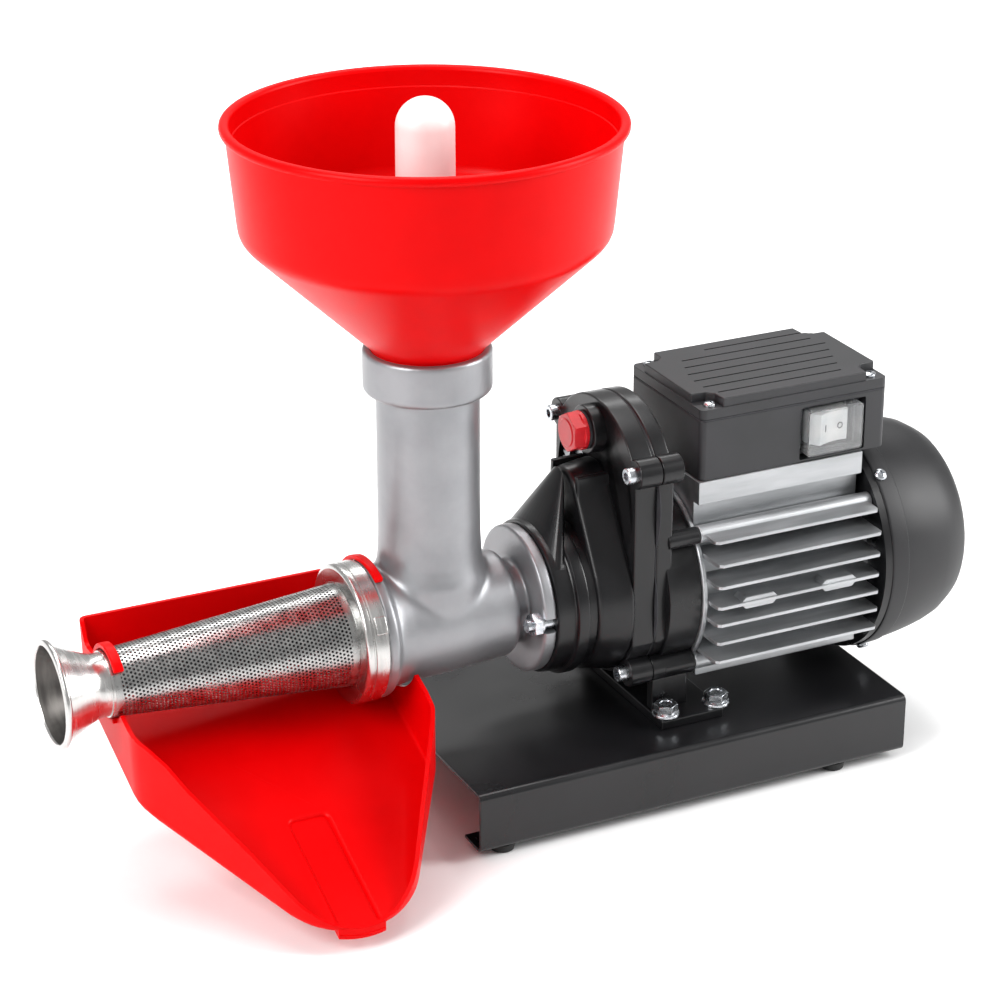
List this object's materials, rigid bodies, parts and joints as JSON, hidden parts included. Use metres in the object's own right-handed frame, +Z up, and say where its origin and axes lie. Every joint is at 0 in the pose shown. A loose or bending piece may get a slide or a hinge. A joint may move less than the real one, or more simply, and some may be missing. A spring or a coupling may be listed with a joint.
{
  "type": "electric tomato press",
  "caption": "Tabletop tomato press: a geared electric motor on a folded steel base turns a screw that pushes tomatoes from a wide hopper through a perforated cone, with a juice chute below.",
  "frame": {"origin": "centre of the folded base, on the plane of the table that its rubber feet stand on", "axes": "+X along the barrel from the waste spout to the motor, -Y towards the juice chute's tip, +Z up"},
  "size_m": [0.5846, 0.2645, 0.4395],
  "materials": {
    "base_paint": "gloss black powder paint on folded sheet steel",
    "casing_paint": "gloss black paint on cast aluminium",
    "silver_paint": "silver metallic paint on cast aluminium",
    "motor_alloy": "die cast and bead blasted",
    "shield_alloy": "cast, painted dark",
    "stainless": "polished stainless steel sheet",
    "zinc_steel": "bright zinc plated",
    "ground_steel": "turned and ground",
    "gear_steel": "hobbed, oiled",
    "bearing_steel": "ground races",
    "lamination": "stacked electrical sheet",
    "copper_wire": "varnished copper windings",
    "capacitor_can": "drawn can",
    "rubber": "moulded",
    "gasket": "cut sheet",
    "red_plug": "moulded red plastic",
    "black_plastic": "moulded, fine grain",
    "red_plastic": "moulded polypropylene",
    "white_plastic": "moulded polyethylene",
    "cream_plastic": "moulded",
    "rocker_plastic": "moulded",
    "clear_plastic": "clear flexible cover"
  },
  "bodies": {
    "frame": {"base_plate": "base_paint", "rubber_feet": "rubber", "foot_bolts": "zinc_steel", "foot_nuts": "zinc_steel", "front_casing": "casing_paint", "casing_gasket": "gasket", "rear_casing": "casing_paint", "casing_screws": "zinc_steel", "oil_plug": "red_plug", "plug_washer": "gasket", "output_bearings": "bearing_steel", "output_seal": "rubber", "layshaft_bearings": "bearing_steel", "motor_bearings": "bearing_steel", "stator_core": "lamination", "stator_windings": "copper_wire", "motor_housing": "motor_alloy", "tie_bolts": "zinc_steel", "end_shield": "shield_alloy", "fan_cover": "black_plastic", "fan_cover_screws": "zinc_steel", "terminal_box": "black_plastic", "lid_gasket": "gasket", "box_lid": "black_plastic", "lid_screws": "zinc_steel", "capacitor": "capacitor_can", "terminal_block": "cream_plastic", "cable_gland": "black_plastic", "switch_bezel": "black_plastic", "switch_body": "black_plastic", "switch_cover": "clear_plastic", "press_body": "silver_paint", "flange_studs": "zinc_steel", "flange_nuts": "zinc_steel"},
    "rotor": {"motor_shaft": "ground_steel", "rotor_core": "lamination", "fan": "black_plastic"},
    "layshaft_set": {"layshaft": "gear_steel", "lay_gear": "gear_steel"},
    "drive_screw": {"output_shaft": "ground_steel", "output_gear": "gear_steel", "auger": "white_plastic"},
    "rocker": {"switch_rocker": "rocker_plastic"},
    "hopper_set": {"hopper": "red_plastic"},
    "plunger": {"pusher": "white_plastic"},
    "screen": {"bayonet_ring": "stainless", "filter_cone": "stainless", "waste_spout": "stainless"},
    "juice_chute": {"chute": "red_plastic"}
  },
  "joints": [
    {"name": "rotor_spin", "type": "hinge", "parent": "frame", "child": "rotor", "pos_m": [0, 0, 0.12], "axis": [1, 0, 0], "continuous": true},
    {"name": "lay_spin", "type": "hinge", "parent": "frame", "child": "layshaft_set", "pos_m": [0, 0, 0.18], "axis": [1, 0, 0], "continuous": true},
    {"name": "screw_spin", "type": "hinge", "parent": "frame", "child": "drive_screw", "pos_m": [0, 0, 0.12], "axis": [1, 0, 0], "continuous": true},
    {"name": "switch_rock", "type": "hinge", "parent": "frame", "child": "rocker", "pos_m": [0.113, -0.034, 0.2125], "axis": [0, 0, 1], "range_deg": [-18, 0]},
    {"name": "hopper_lift", "type": "slide", "parent": "frame", "child": "hopper_set", "axis": [0, 0, 1], "range_m": [0, 0.1]},
    {"name": "pusher_lift", "type": "slide", "parent": "frame", "child": "plunger", "axis": [0, 0, 1], "range_m": [0, 0.3]},
    {"name": "screen_turn", "type": "hinge", "parent": "frame", "child": "screen", "pos_m": [-0.181, 0, 0.12], "axis": [1, 0, 0], "range_deg": [0, 30]},
    {"name": "chute_swing", "type": "hinge", "parent": "frame", "child": "juice_chute", "pos_m": [-0.244, 0, 0.12], "axis": [1, 0, 0], "range_deg": [-25, 0]}
  ],
  "couplings": [
    {"joint": "lay_spin", "follows": "rotor_spin", "ratio": -0.33333},
    {"joint": "screw_spin", "follows": "rotor_spin", "ratio": 0.096774}
  ]
}
